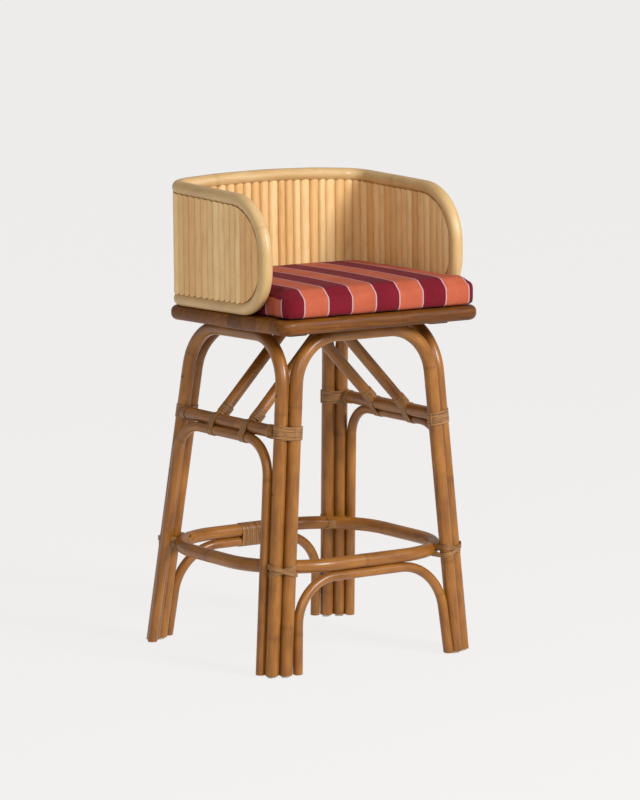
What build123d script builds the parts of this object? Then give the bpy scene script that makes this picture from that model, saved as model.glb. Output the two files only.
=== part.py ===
from build123d import *
import os
from math import atan2, cos, degrees, pi, radians, sin, sqrt, tan

os.makedirs("parts", exist_ok=True)

# Bar stool with a rattan base, a wooden seat board, a cane tub and a loose cushion.
# The front faces -Y, the floor is Z = 0 and the stool is symmetric about X = 0.

# --- cane diameters ---
leg_cane = 27.5          # the four big arches that make the legs
ring_cane = 27.5         # footrest ring
rail_cane = 26.0         # side stretchers
thin_cane = 20.0         # inner arches and lower arches
brace_cane = 23.5        # bent braces under the seat
tub_cane = 27.5          # closed frame of the tub
slat_width = 19.8        # upright canes that fill the tub, split and paired back to back
slat_depth = 26.5

# --- legs ---
foot_half_x = 223.7      # middle of a leg pair at the floor, from the centre plane
foot_front_y = -213.9
foot_rear_y = 237.3
splay_x = 0.0785         # sideways lean of every leg, mm per mm of height
splay_front = 0.049
splay_rear = 0.1255
pair_turn = 24.0         # turn of each touching pair of canes from the X direction, degrees
arch_bend = 100.0        # centre-line radius of the big arches
glide_height = 4.0
glide_diameter = 17.0

# --- seat board ---
board_mid_z = 700.0
board_centre_y = -47.6
board_width = 488.0
board_depth = 424.0
board_thick = 30.0
board_corner = 30.0
board_nose = 13.0        # rounding of the board's edge
seat_rake = 1.0          # the seat leans back by this many degrees
block_side = 46.0        # corner blocks under the board
block_thick = 7.0
block_inset = 48.0
block_round = 8.0

# --- tub ---
arm_front_y = -139.0     # centre line of the arms' front bend, from the board's centre
tub_out = 3.0            # the tub's outer face stands this far outside the board's edge
tub_height = 254.5       # board top to the top of the rail at the rear corners
back_crown = 9.5         # the back rail rises this much to its middle
arm_drop = 17.0          # the arms end this much lower than the rear corners
tub_corner = 42.0        # centre-line radius of the rear corners
arm_bend_top = 108.0
arm_bend_low = 80.0
slat_gap = 0.4
slat_seat = 4.0          # the slats' ends are let this far into the rails

# --- cushion ---
cushion_thick = 56.0
cushion_gap = 2.0        # clear of the tub all round
cushion_edge = 15.0
ear_half_x = 234.0       # the front of the cushion is wider than the tub's inside
ear_front_y = -214.0
ear_corner = 26.0
cushion_corner = 24.0
board_lift = 0.4         # the loose cushion lies this far off the board

# --- stretchers and inner arches ---
rail_z = 486.5
rail_out = 4.0           # stretcher's centre line outside the side arch's plane
inner_out = 14.0         # inner arch's legs outside the side arch's plane
inner_bend = 75.0
cane_clear = 0.3         # gap between canes that run side by side

# --- footrest ring and lower arches ---
ring_z = 213.5
ring_half_x = 238.0
ring_half_y = 215.5
ring_centre_y = 8.0
ring_bend = 150.0
lower_bend = 98.0
lower_foot_out = 8.0     # lower arch's legs this far outside the front or back arch's plane

# --- braces ---
brace_front_y = -71.6
brace_rear_y = 44.4
brace_skew = 9.0         # each left foot stands this far forward, each right foot as far back
brace_bend = 42.0
brace_crown = 20.0       # half the level run at the top of a brace

# --- bindings ---
wrap = 1.8               # thickness of the peel binding
corner_wrap_height = 28.0
ring_wrap_height = 40.0
strap_width = 22.0
strap_climb = 24.0       # how far up the brace its strap reaches
end_wrap_width = 12.0
joint_wrap_length = 68.0
joint_centre_x = 8.0     # the ring's scarf joint is a little off the middle
pin_diameter = 6.0
pin_stand = 0.8
pin_heights = (365.0, 560.0)


# --- seat frame of reference: origin at the middle of the board, leaning back ---
rake = radians(seat_rake)
seat = Plane(origin=(0, board_centre_y, board_mid_z), x_dir=(1, 0, 0), z_dir=(0, sin(rake), cos(rake)))
seat_up = Axis(seat.origin, seat.z_dir)
board_top = board_thick / 2


def under_board(y):
    """Height of the board's underside over the point y."""
    return board_mid_z - board_thick / 2 / cos(rake) - tan(rake) * (y - board_centre_y)


# --- leg geometry ---
pair_dx = (leg_cane + cane_clear) * cos(radians(pair_turn))
pair_dy = (leg_cane + cane_clear) * sin(radians(pair_turn))


def pair_middle(side, end, z):
    """Middle of a leg pair at height z; side is -1 left, +1 right; end is -1 front, +1 rear."""
    x = side * (foot_half_x - splay_x * z)
    y = foot_front_y + splay_front * z if end < 0 else foot_rear_y - splay_rear * z
    return x, y


def side_leg(side, end, z):
    """Centre of the side arch's leg at height z."""
    x, y = pair_middle(side, end, z)
    return x + side * pair_dx / 2, y - end * pair_dy / 2, z


def end_leg(side, end, z):
    """Centre of the front or back arch's leg at height z."""
    x, y = pair_middle(side, end, z)
    return x - side * pair_dx / 2, y + end * pair_dy / 2, z


def leg_top(leg, side, end):
    """Where a leg's centre line reaches the level at which a cane touches the board."""
    z = board_mid_z
    for _ in range(4):
        z = under_board(leg(side, end, z)[1]) - leg_cane / 2 / cos(rake)
    return leg(side, end, z)


def sweep_cane(points, diameter, bend):
    """Sweep a round cane along a polyline with bent corners."""
    with BuildLine() as centre:
        FilletPolyline(*points, radius=bend)
    with BuildSketch(Plane(origin=centre.line @ 0, z_dir=centre.line % 0)) as section:
        Circle(diameter / 2)
    sweep(section.sketch, path=centre.line)


def trim_feet():
    """Cut the swept canes level, at the top of the glides."""
    split(bisect_by=Plane.XY.offset(glide_height), keep=Keep.TOP)


def save(part, name):
    part.label = name
    export_step(part, f"parts/{name}.step")


side_names = {-1: "left", 1: "right"}
end_names = {-1: "front", 1: "back"}
sunk = -25.0             # canes are swept from below the floor and then cut level
arches = {}

# --- four big arches ---
for side in (-1, 1):
    with BuildPart() as side_arch:
        sweep_cane([side_leg(side, -1, sunk), leg_top(side_leg, side, -1),
                    leg_top(side_leg, side, 1), side_leg(side, 1, sunk)], leg_cane, arch_bend)
        trim_feet()
    arches[side_names[side]] = side_arch.part
    save(side_arch.part, f"{side_names[side]}_arch")

for end in (-1, 1):
    with BuildPart() as end_arch:
        sweep_cane([end_leg(-1, end, sunk), leg_top(end_leg, -1, end),
                    leg_top(end_leg, 1, end), end_leg(1, end, sunk)], leg_cane, arch_bend)
        trim_feet()
    arches[end_names[end]] = end_arch.part
    save(end_arch.part, f"{end_names[end]}_arch")

# --- side stretchers, coped against the legs, with an inner arch under each ---
rails = {}
inners = {}
inner_reach = leg_cane / 2 + thin_cane / 2 + cane_clear
inner_along = sqrt(inner_reach**2 - inner_out**2)
rail_drop = sqrt((rail_cane / 2 + thin_cane / 2 + cane_clear) ** 2 - (inner_out - rail_out) ** 2)
inner_top_z = rail_z - rail_drop


def inner_leg(side, end, z):
    """Centre of an inner arch's leg: beside the side arch's leg and a little outside it."""
    x, y, _ = side_leg(side, end, z)
    return x + side * inner_out, y - end * inner_along, z


for side in (-1, 1):
    front, rear = side_leg(side, -1, rail_z), side_leg(side, 1, rail_z)
    with BuildPart() as stretcher:
        with BuildLine() as axis:
            Line((front[0] + side * rail_out, front[1], rail_z), (rear[0] + side * rail_out, rear[1], rail_z))
        with BuildSketch(Plane(origin=axis.line @ 0, z_dir=axis.line % 0)):
            Circle(rail_cane / 2)
        sweep(path=axis.line)
        add(arches[side_names[side]], mode=Mode.SUBTRACT)
    rails[side] = stretcher.part.solids().sort_by(SortBy.VOLUME)[-1]
    rails[side].label = f"{side_names[side]}_stretcher"
    export_step(rails[side], f"parts/{side_names[side]}_stretcher.step")
    with BuildPart() as inner_arch:
        sweep_cane([inner_leg(side, -1, sunk), inner_leg(side, -1, inner_top_z),
                    inner_leg(side, 1, inner_top_z), inner_leg(side, 1, sunk)], thin_cane, inner_bend)
        trim_feet()
    inners[side] = inner_arch.part
    save(inner_arch.part, f"{side_names[side]}_inner_arch")

# --- footrest ring ---
with BuildSketch(Plane.XY.offset(ring_z)) as ring_plan:
    with Locations((0, ring_centre_y)):
        RectangleRounded(2 * ring_half_x, 2 * ring_half_y, ring_bend)
ring_path = ring_plan.sketch.face().outer_wire()
with BuildPart() as footrest_ring:
    with BuildSketch(Plane(origin=ring_path @ 0, z_dir=ring_path % 0)):
        Circle(ring_cane / 2)
    sweep(path=ring_path)
save(footrest_ring.part, "footrest_ring")

# --- lower arches under the ring's front and back rails ---
lower_top_z = ring_z - ring_cane / 2 - thin_cane / 2 - cane_clear
lower_across = leg_cane / 2 + thin_cane / 2 + cane_clear


def lower_leg(side, end, z):
    """Centre of a lower arch's leg: beside the front or back arch's leg, a little outside it."""
    x, y, _ = end_leg(side, end, z)
    return x - side * lower_across, y + end * lower_foot_out, z


lowers = {}
for end in (-1, 1):
    crown_y = ring_centre_y + end * ring_half_y
    foot_y = {side: lower_leg(side, end, glide_height) for side in (-1, 1)}
    lean = (foot_y[1][1] - crown_y) / (lower_top_z - glide_height)
    tops = {side: (lower_leg(side, end, lower_top_z)[0], crown_y, lower_top_z) for side in (-1, 1)}
    low = {side: (foot_y[side][0] + side * splay_x * (glide_height - sunk),
                  foot_y[side][1] + lean * (glide_height - sunk), sunk) for side in (-1, 1)}
    with BuildPart() as lower_arch:
        sweep_cane([low[-1], tops[-1], tops[1], low[1]], thin_cane, lower_bend)
        trim_feet()
    lowers[end] = lower_arch.part
    save(lower_arch.part, f"{end_names[end]}_lower_arch")

# --- bent braces from stretcher to stretcher, notched over them ---
rail_x = side_leg(1, -1, rail_z)[0] + rail_out
brace_rows = {-1: brace_front_y, 1: brace_rear_y}


def brace_point(end, x, z):
    """Point of a brace's plane, which is turned a little about the vertical."""
    return x, brace_rows[end] + brace_skew * x / rail_x, z


braces = {}
brace_slopes = {}
for end in (-1, 1):
    crown_z = under_board(brace_rows[end]) - brace_cane / 2 / cos(rake) - cane_clear
    brace_slopes[end] = atan2(crown_z - rail_z, rail_x - brace_crown)
    with BuildPart() as brace:
        sweep_cane([brace_point(end, -rail_x, rail_z), brace_point(end, -brace_crown, crown_z),
                    brace_point(end, brace_crown, crown_z), brace_point(end, rail_x, rail_z)],
                   brace_cane, brace_bend)
        for side in (-1, 1):
            with Locations(brace_point(end, side * rail_x, rail_z)):
                Cylinder(rail_cane / 2, 2 * brace_cane, rotation=(90, 0, 0), mode=Mode.SUBTRACT)
    braces[end] = brace.part
    save(brace.part, f"{end_names[end]}_brace")

# --- seat board ---
with BuildPart() as seat_board:
    with BuildSketch(seat.offset(-board_thick / 2)):
        Rectangle(board_width, board_depth)
        fillet(vertices(), board_corner)
    extrude(amount=board_thick)
    fillet(faces().sort_by(seat_up)[0].edges() + faces().sort_by(seat_up)[-1].edges(), board_nose)
save(seat_board.part, "seat_board")

# --- corner blocks under the board, notched round the arches ---
with BuildPart() as corner_blocks:
    for side in (-1, 1):
        for end in (-1, 1):
            with BuildSketch(seat.offset(-board_thick / 2 - block_thick)):
                with Locations((side * (board_width / 2 - block_inset - block_side / 2),
                                end * (board_depth / 2 - block_inset - block_side / 2))):
                    RectangleRounded(block_side, block_side, block_round)
            extrude(amount=block_thick)
    for arch in arches.values():
        add(arch, mode=Mode.SUBTRACT)
save(corner_blocks.part, "corner_blocks")

# --- tub frame: one closed cane ---
tub_half_x = board_width / 2 + tub_out - tub_cane / 2
tub_rear_y = board_depth / 2 + tub_out - tub_cane / 2
rail_low = board_top + tub_cane / 2
rail_top = board_top + tub_height - tub_cane / 2
arm_mid_y = arm_front_y + (tub_rear_y - arm_front_y) / 2


def top_rail_height(y):
    """Height of the top rail over the seat frame's y: level with the back, lower to the front."""
    return rail_top - arm_drop * (tub_rear_y - y) / (tub_rear_y - arm_front_y)


def in_seat(x, y, h):
    """A point of the seat frame as a point in space."""
    return seat.from_local_coords(Vector(x, y, h))


with BuildPart() as tub_frame:
    mid_top = top_rail_height(arm_mid_y)
    back_rail = [in_seat(share * tub_half_x, tub_rear_y, rail_top + back_crown * (1 - share**2))
                 for share in (-1, -0.5, 0, 0.5, 1)]
    sweep_cane([in_seat(-tub_half_x, arm_mid_y, mid_top), *back_rail,
                in_seat(tub_half_x, arm_mid_y, mid_top)], tub_cane, tub_corner)
    sweep_cane([in_seat(-tub_half_x, arm_mid_y, rail_low), in_seat(-tub_half_x, tub_rear_y, rail_low),
                in_seat(tub_half_x, tub_rear_y, rail_low), in_seat(tub_half_x, arm_mid_y, rail_low)],
               tub_cane, tub_corner)
    knee = top_rail_height(arm_front_y)
    arm_waist = (knee - arm_bend_top + rail_low + arm_bend_low) / 2
    for side in (-1, 1):
        waist = in_seat(side * tub_half_x, arm_front_y, arm_waist)
        sweep_cane([in_seat(side * tub_half_x, arm_mid_y, mid_top),
                    in_seat(side * tub_half_x, arm_front_y, knee), waist], tub_cane, arm_bend_top)
        sweep_cane([in_seat(side * tub_half_x, arm_mid_y, rail_low),
                    in_seat(side * tub_half_x, arm_front_y, rail_low), waist], tub_cane, arm_bend_low)
save(tub_frame.part, "tub_frame")

# --- upright slat canes, coped against the tub frame ---
slat_pitch = slat_width + slat_gap


def slat_set(name, places, room):
    """Upright canes at the given places and turns of the plan, each one a solid, cut to the room."""
    with BuildPart() as slats:
        for x, y, turn in places:
            with BuildSketch(seat.offset(rail_low)):
                with Locations(Location((x, y), turn)):
                    SlotOverall(slat_depth, slat_width)
            extrude(amount=rail_top + back_crown - rail_low)
        add(room, mode=Mode.INTERSECT)
        add(tub_frame.part, mode=Mode.SUBTRACT)
    save(slats.part, name)


rail_sink = tub_cane / 2 - slat_seat     # from a rail's centre line to the slats' cut ends
seat_back = Plane(origin=seat.origin, x_dir=seat.x_dir, z_dir=-seat.y_dir)
with BuildPart() as back_room:
    with BuildSketch(seat_back):
        with BuildLine():
            Polyline((-board_width, rail_low + rail_sink), (-board_width, rail_top - rail_sink),
                     (-tub_half_x, rail_top - rail_sink), (0, rail_top + back_crown - rail_sink),
                     (tub_half_x, rail_top - rail_sink), (board_width, rail_top - rail_sink),
                     (board_width, rail_low + rail_sink), close=True)
        make_face()
    extrude(amount=board_depth, both=True)
arm_side = Plane(origin=seat.origin, x_dir=seat.y_dir, z_dir=(1, 0, 0))
with BuildPart() as arm_room:
    with BuildSketch(arm_side):
        with BuildLine():
            Polyline((tub_rear_y, rail_low), (arm_front_y, rail_low), (arm_front_y, knee),
                     (tub_rear_y, rail_top), close=True)
        make_face()
        fillet(vertices().group_by(Axis.X)[0].sort_by(Axis.Y)[0], arm_bend_low)
        fillet(vertices().group_by(Axis.X)[0].sort_by(Axis.Y)[-1], arm_bend_top)
        offset(amount=-rail_sink, kind=Kind.INTERSECTION)
    extrude(amount=board_width, both=True)

back_run = 2 * (tub_half_x - tub_corner)
back_count = int(back_run / slat_pitch)
back_step = back_run / back_count
back_places = [(-back_run / 2 + back_step * (i + 0.5), tub_rear_y, 90) for i in range(back_count)]
corner_count = int(pi / 2 * tub_corner / slat_pitch)
corner_turn = pi / 2 / corner_count
arm_first_y = tub_rear_y - tub_corner - slat_pitch / 2
arm_last_y = arm_front_y + tub_cane / 2 + slat_width / 2 + slat_gap
arm_count = int((arm_first_y - arm_last_y) / slat_pitch) + 1
slat_set("back_slats", back_places, back_room.part)
for side in (-1, 1):
    corner_places = []
    for i in range(corner_count):
        turn = corner_turn * (i + 0.5)
        corner_places.append((side * (tub_half_x - tub_corner + tub_corner * cos(turn)),
                              tub_rear_y - tub_corner + tub_corner * sin(turn), side * degrees(turn)))
    arm_places = [(side * tub_half_x, arm_first_y - slat_pitch * i, 0) for i in range(arm_count)]
    slat_set(f"{side_names[side]}_corner_slats", corner_places, back_room.part)
    slat_set(f"{side_names[side]}_arm_slats", arm_places, arm_room.part)

# --- loose cushion: fills the tub and widens in front of the arms ---
inner_half_x = tub_half_x - tub_cane / 2 - cushion_gap
inner_rear_y = tub_rear_y - tub_cane / 2 - cushion_gap
ear_rear_y = arm_front_y - tub_cane / 2 - cushion_gap
with BuildPart() as seat_cushion:
    with BuildSketch(seat.offset(board_top + board_lift)):
        with BuildLine():
            Polyline((-ear_half_x, ear_front_y), (ear_half_x, ear_front_y), (ear_half_x, ear_rear_y),
                     (inner_half_x, ear_rear_y), (inner_half_x, inner_rear_y), (-inner_half_x, inner_rear_y),
                     (-inner_half_x, ear_rear_y), (-ear_half_x, ear_rear_y), close=True)
        make_face()
        fillet(vertices().group_by(Axis.Y)[0], ear_corner)
        fillet(vertices().group_by(Axis.Y)[-1], cushion_corner)
    extrude(amount=cushion_thick)
    fillet(faces().sort_by(seat_up)[-1].edges(), cushion_edge)
save(seat_cushion.part, "seat_cushion")


# --- peel bindings ---
def leg_plane(side, end, z):
    """Plane across a leg pair at height z, with its X along the row of the two canes."""
    a, b = Vector(*side_leg(side, end, z)), Vector(*end_leg(side, end, z))
    up = Vector(*side_leg(side, end, z + 1)) - a
    return Plane(origin=(a + b) / 2, x_dir=a - b, z_dir=up)


# a flat band of several turns round each leg pair, level with the stretchers
for side in (-1, 1):
    for end in (-1, 1):
        across = leg_plane(side, end, rail_z)
        with BuildPart() as corner_wrap:
            with BuildSketch(across.offset(-corner_wrap_height / 2)):
                for place in (-1, 1):
                    with Locations((place * (leg_cane + cane_clear) / 2, 0)):
                        Circle(leg_cane / 2 + wrap)
                make_hull()
            extrude(amount=corner_wrap_height)
            add(arches[side_names[side]], mode=Mode.SUBTRACT)
            add(arches[end_names[end]], mode=Mode.SUBTRACT)
            add(rails[side], mode=Mode.SUBTRACT)
            add(inners[side], mode=Mode.SUBTRACT)
        band = corner_wrap.part.solids().sort_by(SortBy.VOLUME)[-1]
        band.label = f"corner_wrap_{side_names[side]}_{end_names[end]}"
        export_step(band, f"parts/{band.label}.step")


def ring_touch(side, end):
    """Point of the ring's centre line nearest to a leg pair."""
    centre = Vector(side * (ring_half_x - ring_bend), ring_centre_y + end * (ring_half_y - ring_bend), ring_z)
    x, y = pair_middle(side, end, ring_z)
    return centre + (Vector(x, y, ring_z) - centre).normalized() * ring_bend


# a taller band round each leg pair and the ring's corner
for side in (-1, 1):
    for end in (-1, 1):
        touch = ring_touch(side, end)
        with BuildPart() as ring_wrap:
            with BuildSketch(Plane.XY.offset(ring_z - ring_wrap_height / 2)):
                for leg in (side_leg, end_leg):
                    with Locations(leg(side, end, ring_z)[:2]):
                        Circle(leg_cane / 2 + wrap)
                with Locations((touch.X, touch.Y)):
                    Circle(ring_cane / 2 + wrap)
                make_hull()
            extrude(amount=ring_wrap_height)
            for cane in (arches[side_names[side]], arches[end_names[end]], inners[side], lowers[end],
                         footrest_ring.part):
                add(cane, mode=Mode.SUBTRACT)
        band = ring_wrap.part.solids().sort_by(SortBy.VOLUME)[-1]
        band.label = f"ring_wrap_{side_names[side]}_{end_names[end]}"
        export_step(band, f"parts/{band.label}.step")

# a strap round each brace foot, the stretcher and the inner arch under it
for side in (-1, 1):
    inner_x = inner_leg(side, -1, inner_top_z)[0]
    for end in (-1, 1):
        foot_y = brace_point(end, side * rail_x, rail_z)[1]
        with BuildPart() as strap:
            with BuildSketch(Plane.XZ.offset(-foot_y - strap_width / 2)):
                with Locations((side * rail_x, rail_z)):
                    Circle(rail_cane / 2 + wrap)
                with Locations((inner_x, inner_top_z)):
                    Circle(thin_cane / 2 + wrap)
                with Locations((side * (rail_x - strap_climb / tan(brace_slopes[end])), rail_z + strap_climb)):
                    Circle(brace_cane / 2 + wrap)
                make_hull()
            extrude(amount=strap_width)
            for cane in (rails[side], inners[side], braces[end]):
                add(cane, mode=Mode.SUBTRACT)
        band = strap.part.solids().sort_by(SortBy.VOLUME)[-1]
        band.label = f"brace_strap_{side_names[side]}_{end_names[end]}"
        export_step(band, f"parts/{band.label}.step")

# a narrow band round each stretcher end, beside the corner wrap
with BuildPart() as stretcher_end_wraps:
    for side in (-1, 1):
        for end in (-1, 1):
            leg_y = side_leg(side, end, rail_z)[1]
            start_y = leg_y - end * (leg_cane / 2 + wrap + cane_clear + 2 * end_wrap_width / 3)
            with BuildSketch(Plane.XZ.offset(-start_y + end_wrap_width / 2)):
                with Locations((side * rail_x, rail_z)):
                    Circle(rail_cane / 2 + wrap)
                    Circle(rail_cane / 2, mode=Mode.SUBTRACT)
            extrude(amount=-end_wrap_width)
save(stretcher_end_wraps.part, "stretcher_end_wraps")

# a coil over the ring's scarf joint that also holds the back lower arch
crown_y = ring_centre_y + ring_half_y
with BuildPart() as ring_joint_wrap:
    with BuildSketch(Plane.YZ.offset(joint_centre_x - joint_wrap_length / 2)):
        with Locations((crown_y, ring_z)):
            Circle(ring_cane / 2 + wrap)
        with Locations((crown_y, lower_top_z)):
            Circle(thin_cane / 2 + wrap)
        make_hull()
    extrude(amount=joint_wrap_length)
    add(footrest_ring.part, mode=Mode.SUBTRACT)
    add(lowers[1], mode=Mode.SUBTRACT)
save(ring_joint_wrap.part, "ring_joint_wrap")

# --- glides under the eight big canes, and pins through each leg pair ---
with BuildPart() as foot_glides:
    with BuildSketch():
        for side in (-1, 1):
            for end in (-1, 1):
                for leg in (side_leg, end_leg):
                    with Locations(leg(side, end, glide_height)[:2]):
                        Circle(glide_diameter / 2)
    extrude(amount=glide_height)
save(foot_glides.part, "foot_glides")

with BuildPart() as leg_pins:
    for side in (-1, 1):
        for end in (-1, 1):
            for height in pin_heights:
                x, y, _ = side_leg(side, end, height)
                with BuildSketch(Plane(origin=(x, y, height), x_dir=(0, 1, 0), z_dir=(side, 0, 0))):
                    Circle(pin_diameter / 2)
                extrude(amount=leg_cane / 2 + pin_stand)
    for side in (-1, 1):
        add(arches[side_names[side]], mode=Mode.SUBTRACT)
save(leg_pins.part, "leg_pins")
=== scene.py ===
import bpy
import bmesh
import math
import random
from mathutils import Matrix, Vector
from mathutils.geometry import convex_hull_2d


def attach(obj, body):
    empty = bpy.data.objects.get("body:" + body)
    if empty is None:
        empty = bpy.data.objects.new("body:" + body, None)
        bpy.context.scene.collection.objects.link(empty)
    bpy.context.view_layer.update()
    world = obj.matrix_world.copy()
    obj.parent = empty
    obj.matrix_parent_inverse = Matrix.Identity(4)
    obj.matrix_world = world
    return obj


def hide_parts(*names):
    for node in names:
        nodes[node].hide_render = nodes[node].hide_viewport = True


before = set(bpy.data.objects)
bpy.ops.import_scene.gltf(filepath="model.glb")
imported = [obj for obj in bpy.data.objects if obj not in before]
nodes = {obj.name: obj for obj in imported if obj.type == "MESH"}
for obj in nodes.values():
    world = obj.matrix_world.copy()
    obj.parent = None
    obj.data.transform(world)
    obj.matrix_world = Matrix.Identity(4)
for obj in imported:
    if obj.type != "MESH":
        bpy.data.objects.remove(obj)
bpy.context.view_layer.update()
scene = bpy.context.scene
MM = 0.001

# ------------------------------------------------------------------ camera
YAW, PITCH = math.radians(34.83), math.radians(8.34)
DISTANCE, LENS = 8.45, 186.3
right = Vector((math.cos(YAW), -math.sin(YAW), 0.0))
look = Vector((math.sin(YAW) * math.cos(PITCH), math.cos(YAW) * math.cos(PITCH), -math.sin(PITCH)))
up = right.cross(look)
aim = Vector((0.0, -0.0476, 0.350)) - right * 0.00645 + up * 0.1676
lens = bpy.data.cameras.new("view_camera")
lens.lens = LENS
lens.sensor_width = 36.0
lens.dof.use_dof = False
lens.clip_end = 300.0
camera = bpy.data.objects.new("view_camera", lens)
scene.collection.objects.link(camera)
turned = Matrix((right, up, -look)).transposed().to_4x4()
camera.matrix_world = Matrix.Translation(aim - look * DISTANCE) @ turned
scene.camera = camera
scene.view_settings.view_transform = "Standard"

# ------------------------------------------------------------------ sizes, in metres
# canes
LEG_CANE, RING_CANE, RAIL_CANE = 27.5 * MM, 27.5 * MM, 26.0 * MM
THIN_CANE, BRACE_CANE, TUB_CANE = 20.0 * MM, 23.5 * MM, 27.5 * MM
CANE_CLEAR = 0.3 * MM
# legs
FOOT_HALF_X, FOOT_FRONT_Y, FOOT_REAR_Y = 223.7 * MM, -213.9 * MM, 237.3 * MM
SPLAY_X, SPLAY_FRONT, SPLAY_REAR = 0.0785, 0.049, 0.1255
PAIR_TURN = math.radians(24.0)
ARCH_BEND = 100.0 * MM
GLIDE_HEIGHT = 4.0 * MM
SUNK = -25.0 * MM
# seat board and tub
BOARD_MID_Z, BOARD_CENTRE_Y = 700.0 * MM, -47.6 * MM
BOARD_WIDTH, BOARD_DEPTH, BOARD_THICK = 488.0 * MM, 424.0 * MM, 30.0 * MM
SEAT_RAKE = math.radians(1.0)
ARM_FRONT_Y, TUB_HEIGHT, ARM_DROP, BACK_CROWN = -139.0 * MM, 254.5 * MM, 17.0 * MM, 9.5 * MM
TUB_OUT, TUB_CORNER, ARM_BEND_TOP, ARM_BEND_LOW = 3.0 * MM, 42.0 * MM, 108.0 * MM, 80.0 * MM
SLAT_WIDTH, SLAT_DEPTH, SLAT_GAP = 19.8 * MM, 26.5 * MM, 0.4 * MM
SLAT_EDGE, SLAT_END_GAP, SLAT_MIDDLE = 8.2 * MM, 0.9 * MM, 105.0 * MM
# stretchers, ring, braces
RAIL_Z, RAIL_OUT, INNER_OUT, INNER_BEND = 486.5 * MM, 4.0 * MM, 14.0 * MM, 75.0 * MM
RING_Z, RING_HALF_X, RING_HALF_Y = 213.5 * MM, 238.0 * MM, 215.5 * MM
RING_CENTRE_Y, RING_BEND = 8.0 * MM, 150.0 * MM
LOWER_BEND, LOWER_FOOT_OUT = 98.0 * MM, 8.0 * MM
BRACE_ROWS = {-1: -71.6 * MM, 1: 44.4 * MM}
BRACE_SKEW, BRACE_BEND, BRACE_CROWN = 9.0 * MM, 42.0 * MM, 20.0 * MM
BRACE_SUNK = 0.6 * RAIL_CANE / 2                 # the brace's ends reach this far from the stretcher's middle
JOINT_X, JOINT_LENGTH = 8.0 * MM, 68.0 * MM
SIDES = {-1: "left", 1: "right"}
ENDS = {-1: "front", 1: "back"}

# seat frame of reference, as in the CAD model
seat = Matrix.Translation((0, BOARD_CENTRE_Y, BOARD_MID_Z)) @ Matrix.Rotation(-SEAT_RAKE, 4, "X")


# ------------------------------------------------------------------ helpers
def hex_colour(code):
    """Linear RGBA of an sRGB hex value."""
    channels = [int(code[i:i + 2], 16) / 255 for i in (1, 3, 5)]
    return (*[c / 12.92 if c <= 0.04045 else ((c + 0.055) / 1.055) ** 2.4 for c in channels], 1.0)


ADD, SUBTRACT, MULTIPLY, DIVIDE = [{"operation": word} for word in ("ADD", "SUBTRACT", "MULTIPLY", "DIVIDE")]


def add_node(tree, kind, inputs=None, stops=None, **settings):
    """Add a node with its settings; its inputs are values, or the sockets or nodes (first output) to link."""
    node = tree.nodes.new(kind)
    for key, value in settings.items():
        setattr(node, key, value)
    for key, value in (inputs or {}).items():
        if isinstance(value, bpy.types.Node):
            value = value.outputs[0]
        if isinstance(value, bpy.types.NodeSocket):
            tree.links.new(value, node.inputs[key])
        else:
            node.inputs[key].default_value = value
    if stops:
        ramp = node.color_ramp
        while len(ramp.elements) < len(stops):
            ramp.elements.new(0.5)
        for element, (place, code) in zip(ramp.elements, stops):
            element.position = place
            element.color = hex_colour(code)
    return node


def new_material(name, **finish):
    """A new material, its tree and its shader, with the finish set on the shader's own sockets."""
    material = bpy.data.materials.new(name)
    material.use_nodes = True
    shader = material.node_tree.nodes["Principled BSDF"]
    for key, value in finish.items():
        shader.inputs[key.replace("_", " ")].default_value = value
    return material, material.node_tree, shader


def noise(tree, place, size, detail, rough=0.5, bent=0.0):
    """Noise with features of the given size, in metres along X, Y and Z."""
    spread = add_node(tree, "ShaderNodeMapping", {0: place, 3: [1 / length for length in size]})
    return add_node(tree, "ShaderNodeTexNoise", {"Vector": spread, "Scale": 1.0, "Detail": detail,
                                                 "Roughness": rough, "Distortion": bent}).outputs["Fac"]


def paint(tree, shader, colour, height=None, depth=0.0, strength=0.5):
    """Link a colour to the shader, and a relief of the given depth in metres."""
    tree.links.new(colour, shader.inputs["Base Color"])
    if height:
        bump = add_node(tree, "ShaderNodeBump", {"Strength": strength, "Distance": depth, "Height": height})
        tree.links.new(bump.outputs[0], shader.inputs["Normal"])


# ------------------------------------------------------------------ materials
def cane_material(name, tones, joint_tone, rough, coat):
    """Round rattan with its skin: long streaks, broad tone patches and a dark ring at each growth node."""
    material, tree, shader = new_material(name, Specular_IOR_Level=0.38, Coat_Weight=coat, Coat_Roughness=0.22)
    section, along, seed, ring = [add_node(tree, "ShaderNodeAttribute", attribute_name=label).outputs
                                  for label in ("section", "along", "seed", "growth")]
    length = add_node(tree, "ShaderNodeCombineXYZ", {2: along["Fac"]})
    place = add_node(tree, "ShaderNodeVectorMath", {0: section["Vector"], 1: length}, **ADD)
    shift = add_node(tree, "ShaderNodeCombineXYZ", {0: seed["Fac"], 1: seed["Fac"]})
    place = add_node(tree, "ShaderNodeVectorMath", {0: place, 1: shift}, **ADD)
    streaks = noise(tree, place, (3 * MM, 3 * MM, 60 * MM), 3.0, 0.6)
    patches = noise(tree, place, (28 * MM, 28 * MM, 75 * MM), 3.0, 0.55)
    blend = add_node(tree, "ShaderNodeMix", {0: 0.66, 2: streaks, 3: patches})
    colour = add_node(tree, "ShaderNodeValToRGB", {0: blend}, stops=tones)
    marked = add_node(tree, "ShaderNodeMix", {0: ring["Fac"], 6: colour, 7: hex_colour(joint_tone)},
                      data_type="RGBA")
    paint(tree, shader, marked.outputs[2], streaks, 0.25 * MM)
    gloss = add_node(tree, "ShaderNodeMapRange", {0: patches, 3: rough - 0.07, 4: rough + 0.10})
    tree.links.new(gloss.outputs[0], shader.inputs["Roughness"])
    return material


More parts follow.
